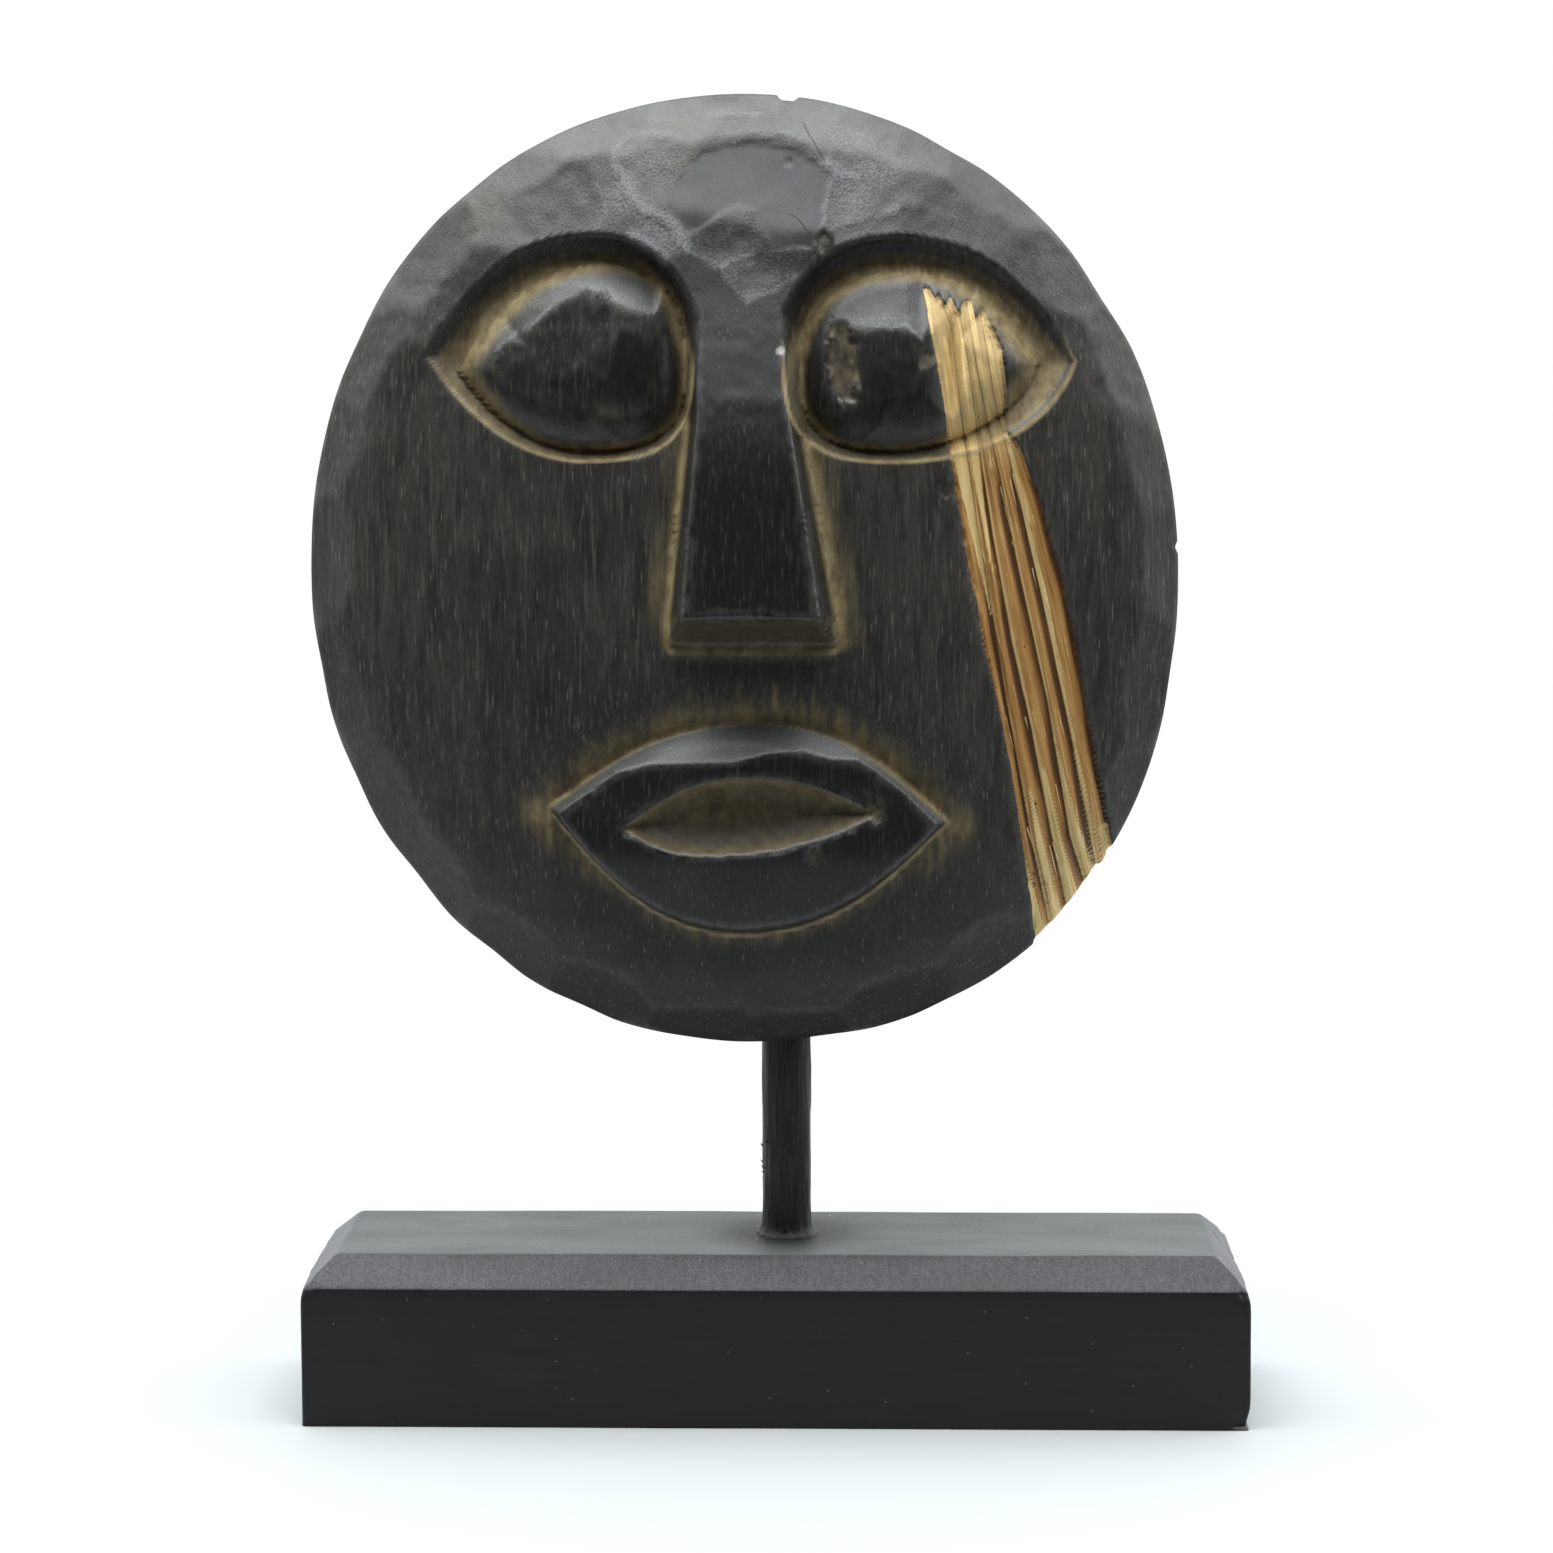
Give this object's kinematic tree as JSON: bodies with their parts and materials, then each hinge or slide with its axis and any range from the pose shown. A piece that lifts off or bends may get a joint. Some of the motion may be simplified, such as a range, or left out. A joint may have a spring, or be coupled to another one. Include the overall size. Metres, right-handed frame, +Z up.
{
  "type": "carved wooden mask on stand",
  "caption": "Round carved wooden mask with bulging eyes, long nose, full lips and a bare reeded band, held up by a dowel rod on a chamfered wooden plinth.",
  "frame": {"origin": "middle of the plinth's underside", "axes": "+Z up, -Y towards the viewer of the face, +X to that viewer's right"},
  "size_m": [0.277, 0.097, 0.3863],
  "materials": {
    "stained_wood": "dark stain, waxed, with ochre dust in the hollows and a bare straw-coloured band",
    "black_wood": "rough black stain",
    "painted_wood": "satin black-brown paint, worn grey on top"
  },
  "bodies": {
    "root": {"mask": "stained_wood", "rod": "black_wood", "plinth": "painted_wood"}
  },
  "joints": []
}
